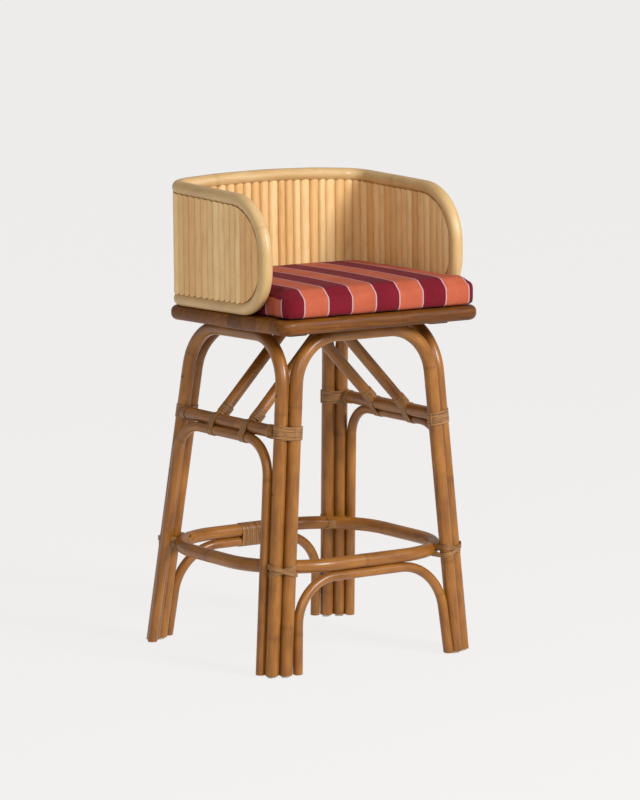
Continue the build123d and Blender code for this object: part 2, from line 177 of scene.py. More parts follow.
# rattan cane stained brown under a satin lacquer: warm, streaky, glossier on the skin
brown_rattan = cane_material(
    "rattan_stained_lacquered",
    [(0.24, "#5f360d"), (0.42, "#7f4d19"), (0.56, "#925c1f"), (0.78, "#ab722c")], "#50300f", 0.36, 0.22)
# natural peeled rattan under clear lacquer: pale straw with faint streaks
natural_rattan = cane_material(
    "rattan_natural_lacquered",
    [(0.2, "#b08c57"), (0.45, "#be9b68"), (0.6, "#c8a775"), (0.8, "#d3b688")], "#a6804e", 0.42, 0.15)

# split rattan core, sanded and clear lacquered: each slat has its own tone and an upright grain
slat_rattan, tree, shader = new_material("rattan_core_slats", Roughness=0.5, Coat_Weight=0.12,
                                         Coat_Roughness=0.3)
tone = add_node(tree, "ShaderNodeAttribute", attribute_name="tone")
own = add_node(tree, "ShaderNodeValToRGB", {0: tone.outputs["Fac"]},
               stops=[(0.0, "#d3a669"), (0.35, "#dcb478"), (0.7, "#e2bf86"), (1.0, "#e9ca95")])
coords = add_node(tree, "ShaderNodeTexCoord")
drift = add_node(tree, "ShaderNodeCombineXYZ", {2: tone.outputs["Fac"]})
moved = add_node(tree, "ShaderNodeVectorMath", {0: coords.outputs["Object"], 1: drift}, **ADD)
grain = noise(tree, moved, (4 * MM, 4 * MM, 90 * MM), 4.0, 0.65)
stain = noise(tree, moved, (20 * MM, 20 * MM, 45 * MM), 2.0)
shade = add_node(tree, "ShaderNodeMix", {0: 0.45, 2: grain, 3: stain})
shade = add_node(tree, "ShaderNodeValToRGB", {0: shade},
                 stops=[(0.28, "#c9b295"), (0.46, "#f2e9dd"), (0.7, "#ffffff")])
wood = add_node(tree, "ShaderNodeMix", {0: 0.75, 6: own, 7: shade}, data_type="RGBA", blend_type="MULTIPLY")
paint(tree, shader, wood.outputs[2], grain, 0.3 * MM)

# rattan peel binding, stained and lacquered: flat strips with fine lengthwise fibres
peel, tree, shader = new_material("rattan_peel_stained", Roughness=0.42, Coat_Weight=0.2, Coat_Roughness=0.25)
section, along, turn = [add_node(tree, "ShaderNodeAttribute", attribute_name=label).outputs
                        for label in ("section", "along", "seed")]
length = add_node(tree, "ShaderNodeCombineXYZ", {1: turn["Fac"], 2: along["Fac"]})
place = add_node(tree, "ShaderNodeVectorMath", {0: section["Vector"], 1: length}, **ADD)
fibres = noise(tree, place, (1.6 * MM, 1.6 * MM, 25 * MM), 2.0)
colour = add_node(tree, "ShaderNodeValToRGB", {0: fibres},
                  stops=[(0.25, "#553413"), (0.45, "#7f5425"), (0.6, "#946632"), (0.8, "#ad8149")])
paint(tree, shader, colour.outputs[0], fibres, 0.2 * MM, 0.6)

# laminated hardwood staves, stained brown and lacquered: grain along the width, a tone step at each joint
board_wood, tree, shader = new_material("hardwood_stained_lacquered", Roughness=0.45, Specular_IOR_Level=0.22,
                                        Coat_Weight=0.05, Coat_Roughness=0.2)
coords = add_node(tree, "ShaderNodeTexCoord")
# staves 150 mm long and 50 mm wide, set half a stave over in the next row
level = add_node(tree, "ShaderNodeMapping", {0: coords.outputs["Object"], 1: (0.031, 0.262, 0.0)})
staves = add_node(tree, "ShaderNodeTexBrick", {
    "Vector": level, "Color1": hex_colour("#5c5c5c"), "Color2": hex_colour("#b4b4b4"),
    "Mortar": hex_colour("#3a3a3a"), "Scale": 1.0, "Mortar Size": 0.35 * MM, "Mortar Smooth": 0.3,
    "Bias": 0.0, "Brick Width": 0.150, "Row Height": 0.050})
grain = noise(tree, coords.outputs["Object"], (70 * MM, 5 * MM, 5 * MM), 5.0, 0.65, 0.4)
blend = add_node(tree, "ShaderNodeMix", {0: 0.45, 6: grain, 7: staves.outputs["Color"]}, data_type="RGBA")
colour = add_node(tree, "ShaderNodeValToRGB", {0: blend.outputs[2]},
                  stops=[(0.22, "#3f2105"), (0.4, "#683b0d"), (0.55, "#8a5214"), (0.75, "#ac6e28")])
paint(tree, shader, colour.outputs[0], grain, 0.2 * MM, 0.4)


def speckled_material(name, grit, detail, stops):
    """Half-matt material with a fine mottle of the given grit size."""
    material, tree, shader = new_material(name, Roughness=0.5)
    coords = add_node(tree, "ShaderNodeTexCoord")
    mottle = noise(tree, coords.outputs["Object"], (grit, grit, grit), detail)
    colour = add_node(tree, "ShaderNodeValToRGB", {0: mottle}, stops=stops)
    paint(tree, shader, colour.outputs[0])
    return material


# moulded nylon glide, slightly dusty
nylon = speckled_material("nylon_moulded", 4 * MM, 2.0, [(0.3, "#b9b2a4"), (0.7, "#d9d4c8")])
# wooden plug over a nail head, darker than the cane round it
plug = speckled_material("plug_dark_stained", 2 * MM, 3.0, [(0.3, "#3d2410"), (0.7, "#6b4422")])


# ------------------------------------------------------------------ geometry trees
def new_tree(name, sockets):
    """A Geometry Nodes tree with named inputs, given as (name, socket kind)."""
    tree = bpy.data.node_groups.new(name, "GeometryNodeTree")
    tree.is_modifier = True
    tree.interface.new_socket("Geometry", in_out="INPUT", socket_type="NodeSocketGeometry")
    for socket, kind in sockets:
        tree.interface.new_socket(socket, in_out="INPUT", socket_type="NodeSocket" + kind)
    tree.interface.new_socket("Geometry", in_out="OUTPUT", socket_type="NodeSocketGeometry")
    return tree, add_node(tree, "NodeGroupInput").outputs


def end_tree(tree, geometry, material):
    """Realize Instances, smooth shading, Set Material and the tree's output."""
    real = add_node(tree, "GeometryNodeRealizeInstances", {0: geometry})
    smooth = add_node(tree, "GeometryNodeSetShadeSmooth", {0: real})
    painted = add_node(tree, "GeometryNodeSetMaterial", {0: smooth, "Material": material})
    add_node(tree, "NodeGroupOutput", {0: painted})


ON_POINTS = {"data_type": "FLOAT", "domain": "POINT"}
SWELL_REACH, MARK_HALF, MARK_FADE = 14 * MM, 1.5 * MM, 6 * MM     # swelling and dark mark at a growth node
PEEL_DRIFT = 0.12 * MM                                            # unevenness of the turns
WAVE_LENGTH, WAVE_SIZE = 45 * MM, 1.6 * MM                        # waviness of the slats

# a round cane along a route whose corners are rounded by the radius stored at each point
cane_tree, given = new_tree("bent_cane", [
    ("Diameter", "Float"), ("Growth Spacing", "Float"), ("Growth Swell", "Float"), ("Seed", "Float"),
    ("Material", "Material")])
tree = cane_tree
bend = add_node(tree, "GeometryNodeInputRadius")
rounded = add_node(tree, "GeometryNodeFilletCurve", {"Curve": given["Geometry"], "Count": 16, "Radius": bend},
                   mode="POLY")
even = add_node(tree, "GeometryNodeResampleCurve", {"Curve": rounded, "Length": 4 * MM}, mode="LENGTH")
spot = add_node(tree, "GeometryNodeSplineParameter")
kept = add_node(tree, "GeometryNodeStoreNamedAttribute", {
    "Geometry": even, "Name": "along", "Value": spot.outputs["Length"]}, **ON_POINTS)
# distance to the nearest growth node, unevenly spaced
wander = add_node(tree, "ShaderNodeTexNoise", {"W": spot.outputs["Length"], "Scale": 2.3}, noise_dimensions="1D")
steps = add_node(tree, "ShaderNodeMath", {0: spot.outputs["Length"], 1: given["Growth Spacing"]}, **DIVIDE)
steps = add_node(tree, "ShaderNodeMath", {0: wander, 1: 1.3, 2: steps}, operation="MULTIPLY_ADD")
steps = add_node(tree, "ShaderNodeMath", {0: steps, 1: given["Seed"]}, **ADD)
apart = add_node(tree, "ShaderNodeMath", {0: steps, 1: 0.5}, operation="PINGPONG")
apart = add_node(tree, "ShaderNodeMath", {0: apart, 1: given["Growth Spacing"]}, **MULTIPLY)
swell = add_node(tree, "ShaderNodeMapRange", {0: apart, 1: 0.0, 2: SWELL_REACH, 3: given["Growth Swell"], 4: 0.0},
                 interpolation_type="SMOOTHSTEP")
ring = add_node(tree, "ShaderNodeMapRange", {0: apart, 1: MARK_HALF, 2: MARK_FADE, 3: 0.35, 4: 0.0},
                interpolation_type="SMOOTHSTEP")
kept = add_node(tree, "GeometryNodeStoreNamedAttribute", {
    "Geometry": kept, "Name": "growth", "Value": ring}, **ON_POINTS)
kept = add_node(tree, "GeometryNodeStoreNamedAttribute", {
    "Geometry": kept, "Name": "seed", "Value": given["Seed"]}, **ON_POINTS)
thick = add_node(tree, "ShaderNodeMath", {0: swell, 1: 1.0}, **ADD)
sized = add_node(tree, "GeometryNodeSetCurveRadius", {0: kept, "Radius": thick})
half = add_node(tree, "ShaderNodeMath", {0: given["Diameter"], 1: 0.5}, **MULTIPLY)
circle = add_node(tree, "GeometryNodeCurvePrimitiveCircle", {"Resolution": 28, "Radius": half})
where = add_node(tree, "GeometryNodeInputPosition")
outline = add_node(tree, "GeometryNodeStoreNamedAttribute", {
    "Geometry": circle, "Name": "section", "Value": where}, data_type="FLOAT_VECTOR", domain="POINT")
tube = add_node(tree, "GeometryNodeCurveToMesh", {
    "Curve": sized, "Profile Curve": outline, "Scale": thick, "Fill Caps": True})
end_tree(tree, tube, given["Material"])

# turns of flat peel laid along a loop, each a pitch further along the axis, all sloped together
peel_tree, given = new_tree("peel_turns", [
    ("Turns", "Int"), ("Pitch", "Float"), ("Strip Width", "Float"), ("Strip Thickness", "Float"),
    ("Axis", "Vector"), ("Centre", "Vector"), ("Slope", "Vector"), ("Climb", "Float"), ("Seed", "Int"),
    ("Material", "Material")])
tree = peel_tree
even = add_node(tree, "GeometryNodeResampleCurve", {"Curve": given["Geometry"], "Length": 2.4 * MM},
                mode="LENGTH")
copies = add_node(tree, "GeometryNodeDuplicateElements", {0: even, "Amount": given["Turns"]}, domain="SPLINE")
spot = add_node(tree, "GeometryNodeSplineParameter")
where = add_node(tree, "GeometryNodeInputPosition")
last = add_node(tree, "ShaderNodeMath", {0: given["Turns"], 1: 1.0}, **SUBTRACT)
middle = add_node(tree, "ShaderNodeMath", {0: last, 1: 0.5}, **MULTIPLY)
step = add_node(tree, "ShaderNodeMath", {0: copies.outputs["Duplicate Index"], 1: middle}, **SUBTRACT)
climb = add_node(tree, "ShaderNodeMath", {0: spot.outputs["Factor"], 1: 0.5}, **SUBTRACT)
step = add_node(tree, "ShaderNodeMath", {0: climb, 1: given["Climb"], 2: step}, operation="MULTIPLY_ADD")
shift = add_node(tree, "ShaderNodeMath", {0: step, 1: given["Pitch"]}, **MULTIPLY)
chance = add_node(tree, "FunctionNodeRandomValue", {2: -PEEL_DRIFT, 3: PEEL_DRIFT, "Seed": given["Seed"],
                                                    "ID": copies.outputs["Duplicate Index"]}, data_type="FLOAT")
shift = add_node(tree, "ShaderNodeMath", {0: shift, 1: chance.outputs[1]}, **ADD)
reach = add_node(tree, "ShaderNodeVectorMath", {0: where, 1: given["Centre"]}, **SUBTRACT)
lean = add_node(tree, "ShaderNodeVectorMath", {0: reach, 1: given["Slope"]}, operation="DOT_PRODUCT")
shift = add_node(tree, "ShaderNodeMath", {0: shift, 1: lean.outputs["Value"]}, **ADD)
offset = add_node(tree, "ShaderNodeVectorMath", {0: given["Axis"], 3: shift}, operation="SCALE")
laid = add_node(tree, "GeometryNodeSetPosition", {0: copies, "Offset": offset})
kept = add_node(tree, "GeometryNodeStoreNamedAttribute", {
    "Geometry": laid, "Name": "along", "Value": spot.outputs["Length"]}, **ON_POINTS)
tone = add_node(tree, "FunctionNodeRandomValue", {2: 0.0, 3: 1.0, "Seed": given["Seed"],
                                                  "ID": copies.outputs["Duplicate Index"]}, data_type="FLOAT")
kept = add_node(tree, "GeometryNodeStoreNamedAttribute", {
    "Geometry": kept, "Name": "seed", "Value": tone.outputs[1]}, **ON_POINTS)
heading = add_node(tree, "GeometryNodeInputTangent")
outward = add_node(tree, "ShaderNodeVectorMath", {0: heading, 1: given["Axis"]}, operation="CROSS_PRODUCT")
turned = add_node(tree, "GeometryNodeSetCurveNormal", {"Curve": kept, "Normal": outward}, mode="FREE")
flat = add_node(tree, "GeometryNodeCurvePrimitiveQuadrilateral", {"Width": given["Strip Thickness"],
                                                                 "Height": given["Strip Width"]})
edge = add_node(tree, "ShaderNodeMath", {0: given["Strip Thickness"], 1: 0.42}, **MULTIPLY)
flat = add_node(tree, "GeometryNodeFilletCurve", {"Curve": flat, "Count": 3, "Radius": edge}, mode="POLY")
outline = add_node(tree, "GeometryNodeStoreNamedAttribute", {
    "Geometry": flat, "Name": "section", "Value": where}, data_type="FLOAT_VECTOR", domain="POINT")
strip = add_node(tree, "GeometryNodeCurveToMesh", {"Curve": turned, "Profile Curve": outline, "Fill Caps": True})
end_tree(tree, strip, given["Material"])

# upright slats on points: each is cut to the rail above and below it, and has its own tone
slat_tree, given = new_tree("upright_slats", [
    ("Rail", "Object"), ("Depth", "Float"), ("Edge Radius", "Float"), ("Middle Height", "Float"),
    ("End Gap", "Float"), ("Seed", "Int"), ("Material", "Material")])
tree = slat_tree
chance = add_node(tree, "FunctionNodeRandomValue", {2: 0.0, 3: 1.0, "Seed": given["Seed"]}, data_type="FLOAT")
marked = add_node(tree, "GeometryNodeStoreNamedAttribute", {
    "Geometry": given["Geometry"], "Name": "tone", "Value": chance.outputs[1]}, **ON_POINTS)
where = add_node(tree, "GeometryNodeInputPosition")
turn = add_node(tree, "GeometryNodeInputNamedAttribute", {"Name": "turn"}, data_type="FLOAT")
width = add_node(tree, "GeometryNodeInputNamedAttribute", {"Name": "width"}, data_type="FLOAT")
line = add_node(tree, "GeometryNodeCurvePrimitiveLine", {"Start": (0, 0, 0), "End": (0, 0, 1)})
line = add_node(tree, "GeometryNodeResampleCurve", {"Curve": line, "Count": 13}, mode="COUNT")
# the plan is drawn at one width, and each copy is scaled to its slat's own width
DRAWN_WIDTH = 20 * MM
plan = add_node(tree, "GeometryNodeCurvePrimitiveQuadrilateral", {"Width": given["Depth"],
                                                                 "Height": DRAWN_WIDTH})
plan = add_node(tree, "GeometryNodeFilletCurve", {"Curve": plan, "Count": 5,
                                                  "Radius": given["Edge Radius"]}, mode="POLY")
bar = add_node(tree, "GeometryNodeCurveToMesh", {"Curve": line, "Profile Curve": plan, "Fill Caps": True})
split = add_node(tree, "ShaderNodeSeparateXYZ", {0: where})
bar = add_node(tree, "GeometryNodeStoreNamedAttribute", {
    "Geometry": bar, "Name": "rise", "Value": split.outputs[2]}, **ON_POINTS)
bar = add_node(tree, "GeometryNodeStoreNamedAttribute", {
    "Geometry": bar, "Name": "depth", "Value": split}, **ON_POINTS)
facing = add_node(tree, "ShaderNodeCombineXYZ", {2: turn})
narrow = add_node(tree, "ShaderNodeMath", {0: width, 1: DRAWN_WIDTH}, **DIVIDE)
size = add_node(tree, "ShaderNodeCombineXYZ", {0: 1.0, 1: narrow, 2: 1.0})
row = add_node(tree, "GeometryNodeInstanceOnPoints", {"Points": marked, "Instance": bar,
                                                     "Rotation": facing, "Scale": size})
row = add_node(tree, "GeometryNodeRealizeInstances", {0: row})
rise = add_node(tree, "GeometryNodeInputNamedAttribute", {"Name": "rise"}, data_type="FLOAT")
depth = add_node(tree, "GeometryNodeInputNamedAttribute", {"Name": "depth"}, data_type="FLOAT")
flat = add_node(tree, "ShaderNodeVectorMath", {0: where, 1: (1, 1, 0)}, **MULTIPLY)
# the rays start a little nearer the middle of the rail than the slat's face is
inward = add_node(tree, "ShaderNodeMath", {0: depth, 1: -0.22}, **MULTIPLY)
cosine = add_node(tree, "ShaderNodeMath", {0: turn}, operation="COSINE")
sine = add_node(tree, "ShaderNodeMath", {0: turn}, operation="SINE")
facing = add_node(tree, "ShaderNodeCombineXYZ", {0: cosine, 1: sine})
inward = add_node(tree, "ShaderNodeVectorMath", {0: facing, 3: inward}, operation="SCALE")
start = add_node(tree, "ShaderNodeVectorMath", {0: flat, 1: inward}, **ADD)
height = add_node(tree, "ShaderNodeCombineXYZ", {2: given["Middle Height"]})
start = add_node(tree, "ShaderNodeVectorMath", {0: start, 1: height}, **ADD)
rail = add_node(tree, "GeometryNodeObjectInfo", {"Object": given["Rail"]}, transform_space="ORIGINAL")
upper, lower = [add_node(tree, "GeometryNodeRaycast", {
    "Target Geometry": rail.outputs["Geometry"], "Source Position": start,
    "Ray Direction": (0, 0, way), "Ray Length": 1.0}) for way in (1, -1)]
top = add_node(tree, "ShaderNodeMath", {0: upper.outputs["Hit Distance"], 1: given["End Gap"]}, **SUBTRACT)
low = add_node(tree, "ShaderNodeMath", {0: given["End Gap"], 1: lower.outputs["Hit Distance"]}, **SUBTRACT)
at = add_node(tree, "ShaderNodeMix", {0: rise, 2: low, 3: top})
at = add_node(tree, "ShaderNodeMath", {0: at, 1: given["Middle Height"]}, **ADD)
at = add_node(tree, "ShaderNodeCombineXYZ", {2: at})
place = add_node(tree, "ShaderNodeVectorMath", {0: flat, 1: at}, **ADD)
row = add_node(tree, "GeometryNodeSetPosition", {0: row, "Position": place})
# hand-split canes are a little wavy
waves = add_node(tree, "ShaderNodeTexNoise", {"Vector": where, "Scale": 1 / WAVE_LENGTH, "Detail": 1.0})
waves = add_node(tree, "ShaderNodeVectorMath", {0: waves.outputs["Color"], 1: (0.5, 0.5, 0.5)}, **SUBTRACT)
waves = add_node(tree, "ShaderNodeVectorMath", {0: waves, 1: (WAVE_SIZE, WAVE_SIZE, 0.0)}, **MULTIPLY)
row = add_node(tree, "GeometryNodeSetPosition", {0: row, "Offset": waves})
end_tree(tree, row, given["Material"])


# ------------------------------------------------------------------ making pieces
def route(name, points, bends, closed=False):
    """A poly curve through the points; each point's radius holds the bend of its corner."""
    curve = bpy.data.curves.new(name, "CURVE")
    curve.dimensions = "3D"
    spline = curve.splines.new("POLY")
    spline.points.add(len(points) - 1)
    for point, place, bend in zip(spline.points, points, bends):
        point.co = (*place, 1.0)
        point.radius = bend
    spline.use_cyclic_u = closed
    return curve


def grow(name, tree, source, **values):
    """The tree's result on a source curve or mesh, as a plain mesh object at the origin."""
    holder = bpy.data.objects.new(name + "_source", source)
    scene.collection.objects.link(holder)
    modifier = holder.modifiers.new("grow", "NODES")
    modifier.node_group = tree
    for item in tree.interface.items_tree:
        if item.in_out == "INPUT" and item.name.replace(" ", "_").lower() in values:
            modifier[item.identifier] = values[item.name.replace(" ", "_").lower()]
    graph = bpy.context.evaluated_depsgraph_get()
    mesh = bpy.data.meshes.new_from_object(holder.evaluated_get(graph), preserve_all_data_layers=True,
                                           depsgraph=graph)
    mesh.name = name
    bpy.data.objects.remove(holder)
    piece = bpy.data.objects.new(name, mesh)
    scene.collection.objects.link(piece)
    return piece


def finish_piece(piece, slot, body, *replaced):
    """Sharp edges by angle, then the piece's body and the CAD nodes it stands for; the slot is not used."""
    piece.data.set_sharp_from_angle(angle=math.radians(40))
    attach(piece, body)
    if replaced:
        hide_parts(*replaced)
    return piece


def cut_level(mesh, height):
    """Cut a mesh level and close it, with a small chamfer round the cut."""
    work = bmesh.new()
    work.from_mesh(mesh)
    cut = bmesh.ops.bisect_plane(work, geom=work.verts[:] + work.edges[:] + work.faces[:],
                                 plane_co=(0, 0, height), plane_no=(0, 0, -1), clear_outer=True)
    rim = [e for e in cut["geom_cut"] if isinstance(e, bmesh.types.BMEdge)]
    bmesh.ops.holes_fill(work, edges=rim, sides=0)
    bmesh.ops.bevel(work, geom=rim, offset=1.4 * MM, segments=2, affect="EDGES", profile=0.5)
    work.to_mesh(mesh)
    work.free()


seeds = random.Random(7)


def cane(name, points, bends, diameter, material, slot, *replaced, spacing=0.40, swell=0.014, level=False,
         place=None):
    piece = grow(name, cane_tree, route(name, points, bends), diameter=diameter, growth_spacing=spacing,
                 growth_swell=swell, seed=seeds.uniform(0, 9), material=material)
    if level:
        cut_level(piece.data, GLIDE_HEIGHT)
    if place is not None:
        piece.data.transform(place)
    return finish_piece(piece, slot, "frame", *replaced)


def brown_cane(node, points, bends, diameter, level=False):
    return cane(node + "_cane", points, bends, diameter, brown_rattan, "brown_rattan", node, level=level)


# ------------------------------------------------------------------ leg geometry, as in the CAD model
pair_dx = (LEG_CANE + CANE_CLEAR) * math.cos(PAIR_TURN)
pair_dy = (LEG_CANE + CANE_CLEAR) * math.sin(PAIR_TURN)


def under_board(y):
    return BOARD_MID_Z - BOARD_THICK / 2 / math.cos(SEAT_RAKE) - math.tan(SEAT_RAKE) * (y - BOARD_CENTRE_Y)


def pair_middle(side, end, z):
    return (side * (FOOT_HALF_X - SPLAY_X * z),
            FOOT_FRONT_Y + SPLAY_FRONT * z if end < 0 else FOOT_REAR_Y - SPLAY_REAR * z)


def side_leg(side, end, z):
    x, y = pair_middle(side, end, z)
    return Vector((x + side * pair_dx / 2, y - end * pair_dy / 2, z))


def end_leg(side, end, z):
    x, y = pair_middle(side, end, z)
    return Vector((x - side * pair_dx / 2, y + end * pair_dy / 2, z))


def leg_top(leg, side, end):
    z = BOARD_MID_Z
    for _ in range(4):
        z = under_board(leg(side, end, z).y) - LEG_CANE / 2 / math.cos(SEAT_RAKE)
    return leg(side, end, z)


# ------------------------------------------------------------------ big arches
for name, leg, feet in [(name, side_leg, [(side, -1), (side, 1)]) for side, name in SIDES.items()] + \
        [(name, end_leg, [(-1, end), (1, end)]) for end, name in ENDS.items()]:
    first, last = feet
    brown_cane(name + "_arch", [leg(*first, SUNK), leg_top(leg, *first), leg_top(leg, *last), leg(*last, SUNK)],
               [0, ARCH_BEND, ARCH_BEND, 0], LEG_CANE, level=True)

# ------------------------------------------------------------------ stretchers and inner arches
inner_reach = LEG_CANE / 2 + THIN_CANE / 2 + CANE_CLEAR
inner_along = math.sqrt(inner_reach ** 2 - INNER_OUT ** 2)
rail_drop = math.sqrt((RAIL_CANE / 2 + THIN_CANE / 2 + CANE_CLEAR) ** 2 - (INNER_OUT - RAIL_OUT) ** 2)
inner_top_z = RAIL_Z - rail_drop + 0.8 * MM      # the canes press together here


def inner_leg(side, end, z):
    leg = side_leg(side, end, z)
    return Vector((leg.x + side * INNER_OUT, leg.y - end * inner_along, z))


rail_sink = LEG_CANE / 2 - 3 * MM
for side, name in SIDES.items():
    front, rear = side_leg(side, -1, RAIL_Z), side_leg(side, 1, RAIL_Z)
    brown_cane(f"{name}_stretcher", [(front.x + side * RAIL_OUT, front.y + rail_sink, RAIL_Z),
                                     (rear.x + side * RAIL_OUT, rear.y - rail_sink, RAIL_Z)], [0, 0], RAIL_CANE)
    brown_cane(f"{name}_inner_arch", [inner_leg(side, -1, SUNK), inner_leg(side, -1, inner_top_z),
                                      inner_leg(side, 1, inner_top_z), inner_leg(side, 1, SUNK)],
               [0, INNER_BEND, INNER_BEND, 0], THIN_CANE, level=True)

# ------------------------------------------------------------------ ring and lower arches
ring_rear, ring_front = RING_CENTRE_Y + RING_HALF_Y, RING_CENTRE_Y - RING_HALF_Y
brown_cane("footrest_ring",
           [(JOINT_X, ring_rear, RING_Z), (-RING_HALF_X, ring_rear, RING_Z), (-RING_HALF_X, ring_front, RING_Z),
            (RING_HALF_X, ring_front, RING_Z), (RING_HALF_X, ring_rear, RING_Z), (JOINT_X, ring_rear, RING_Z)],
           [0, RING_BEND, RING_BEND, RING_BEND, RING_BEND, 0], RING_CANE)
lower_top_z = RING_Z - RING_CANE / 2 - THIN_CANE / 2 - CANE_CLEAR
lower_across = LEG_CANE / 2 + THIN_CANE / 2 + CANE_CLEAR


def lower_leg(side, end, z):
    leg = end_leg(side, end, z)
    return Vector((leg.x - side * lower_across, leg.y + end * LOWER_FOOT_OUT, z))


for end, name in ENDS.items():
    crown_y = RING_CENTRE_Y + end * RING_HALF_Y
    foot = {side: lower_leg(side, end, GLIDE_HEIGHT) for side in SIDES}
    lean = (foot[1].y - crown_y) / (lower_top_z - GLIDE_HEIGHT)
    low = {side: (foot[side].x + side * SPLAY_X * (GLIDE_HEIGHT - SUNK),
                  foot[side].y + lean * (GLIDE_HEIGHT - SUNK), SUNK) for side in SIDES}
    tops = {side: (lower_leg(side, end, lower_top_z).x, crown_y, lower_top_z) for side in SIDES}
    brown_cane(f"{name}_lower_arch", [low[-1], tops[-1], tops[1], low[1]], [0, LOWER_BEND, LOWER_BEND, 0],
               THIN_CANE, level=True)

# ------------------------------------------------------------------ braces
rail_x = side_leg(1, -1, RAIL_Z).x + RAIL_OUT
brace_slope = {}
for end, name in ENDS.items():
    crown_z = under_board(BRACE_ROWS[end]) - BRACE_CANE / 2 / math.cos(SEAT_RAKE) - CANE_CLEAR
    slope = math.atan2(crown_z - RAIL_Z, rail_x - BRACE_CROWN)
    brace_slope[end] = slope
    foot_x, foot_z = rail_x - BRACE_SUNK * math.cos(slope), RAIL_Z + BRACE_SUNK * math.sin(slope)
    half = ((foot_x, foot_z), (BRACE_CROWN, crown_z))
    points = [(x, BRACE_ROWS[end] + BRACE_SKEW * x / rail_x, z)
              for x, z in (*[(-x, z) for x, z in half], *reversed(half))]
    brown_cane(f"{name}_brace", points, [0, BRACE_BEND, BRACE_BEND, 0], BRACE_CANE)

# ------------------------------------------------------------------ tub frame and slats, in the seat's frame
tub_x, tub_rear = BOARD_WIDTH / 2 + TUB_OUT - TUB_CANE / 2, BOARD_DEPTH / 2 + TUB_OUT - TUB_CANE / 2
rail_low = BOARD_THICK / 2 + TUB_CANE / 2
rail_top = BOARD_THICK / 2 + TUB_HEIGHT - TUB_CANE / 2
knee = rail_top - ARM_DROP
CROWN_BEND = 1.6
tub_points = [(0, tub_rear, rail_low), (tub_x, tub_rear, rail_low), (tub_x, ARM_FRONT_Y, rail_low),
              (tub_x, ARM_FRONT_Y, knee), (tub_x, tub_rear, rail_top),
              *[(share * tub_x, tub_rear, rail_top + BACK_CROWN * (1 - share ** 2))
                for share in (0.5, 0, -0.5)],
              (-tub_x, tub_rear, rail_top),
              (-tub_x, ARM_FRONT_Y, knee), (-tub_x, ARM_FRONT_Y, rail_low), (-tub_x, tub_rear, rail_low),
              (0, tub_rear, rail_low)]
tub_bends = [0, TUB_CORNER, ARM_BEND_LOW, ARM_BEND_TOP, TUB_CORNER, CROWN_BEND, CROWN_BEND, CROWN_BEND,
             TUB_CORNER, ARM_BEND_TOP, ARM_BEND_LOW, TUB_CORNER, 0]
tub = cane("tub_frame_cane", tub_points, tub_bends, TUB_CANE, natural_rattan, "natural_rattan", "tub_frame",
           spacing=0.46, swell=0.010)

middle_height = BOARD_THICK / 2 + SLAT_MIDDLE
choice = random.Random(11)


def filled(run, spread=0.16):
    """Widths of the slats that fill a run, uneven as hand-split canes are: (middle, width) of each."""
    count = int(run / (SLAT_WIDTH + SLAT_GAP))
    parts = [1 + choice.uniform(-spread, spread) for _ in range(count)]
    scale = run / sum(parts)
    places, at = [], 0.0
    for part in parts:
        places.append((at + part * scale / 2, part * scale - SLAT_GAP))
        at += part * scale
    return places


def slat_row(name, places, *replaced):
    """Slats at (x, y, turn, width) of the plan."""
    mesh = bpy.data.meshes.new(name)
    mesh.from_pydata([(x, y, 0) for x, y, _, _ in places], [], [])
    for label, index in (("turn", 2), ("width", 3)):
        attribute = mesh.attributes.new(label, "FLOAT", "POINT")
        attribute.data.foreach_set("value", [p[index] for p in places])
    piece = grow(name, slat_tree, mesh, rail=tub, depth=SLAT_DEPTH, edge_radius=SLAT_EDGE,
                 middle_height=middle_height, end_gap=SLAT_END_GAP, seed=choice.randint(0, 99),
                 material=slat_rattan)
    piece.data.transform(seat)
    finish_piece(piece, "natural_rattan", "frame", *replaced)


back_run = 2 * (tub_x - TUB_CORNER)
slat_row("back_slat_canes",
         [(at - back_run / 2, tub_rear, math.pi / 2, width) for at, width in filled(back_run)], "back_slats")
arm_from = tub_rear - TUB_CORNER
arm_run = arm_from - (ARM_FRONT_Y + TUB_CANE / 2 + SLAT_GAP)
turn_run = math.pi / 2 * TUB_CORNER
for side, name in SIDES.items():
    corner = []
    for at, width in filled(turn_run, 0.08):
        angle = at / TUB_CORNER
        corner.append((side * (tub_x - TUB_CORNER + TUB_CORNER * math.cos(angle)),
                       arm_from + TUB_CORNER * math.sin(angle), side * angle, width))
    slat_row(f"{name}_corner_slat_canes", corner, f"{name}_corner_slats")
    slat_row(f"{name}_arm_slat_canes",
             [(side * tub_x, arm_from - at, 0.0, width) for at, width in filled(arm_run)], f"{name}_arm_slats")
tub.data.transform(seat)

# ------------------------------------------------------------------ peel bindings
PEEL_WIDTH, PEEL_THICK = 4.9 * MM, 1.5 * MM


def loop_round(name, circles, origin, u_axis, v_axis, lift=0.0):
    """Open loop of one turn round the hull of the circles (u, v, radius) in the plane of u and v."""
    outline = []
    for u, v, radius in circles:
        reach = radius + PEEL_THICK / 2 + lift
        for i in range(40):
            angle = 2 * math.pi * i / 40
            outline.append(Vector((u + reach * math.cos(angle), v + reach * math.sin(angle))))
    hull = [outline[i] for i in convex_hull_2d(outline)]
    hull.append(hull[0])
    points = [Vector(origin) + p.x * Vector(u_axis) + p.y * Vector(v_axis) for p in hull]
    return route(name, points, [0] * len(points))


def turns(name, loop, axis, count, pitch, width=PEEL_WIDTH, slope=(0, 0, 0), centre=(0, 0, 0), climb=1.0):
    return grow(name, peel_tree, loop, turns=count, pitch=pitch, strip_width=width, strip_thickness=PEEL_THICK,
                axis=axis, centre=centre, slope=slope, climb=climb, seed=seeds.randint(0, 99), material=peel)


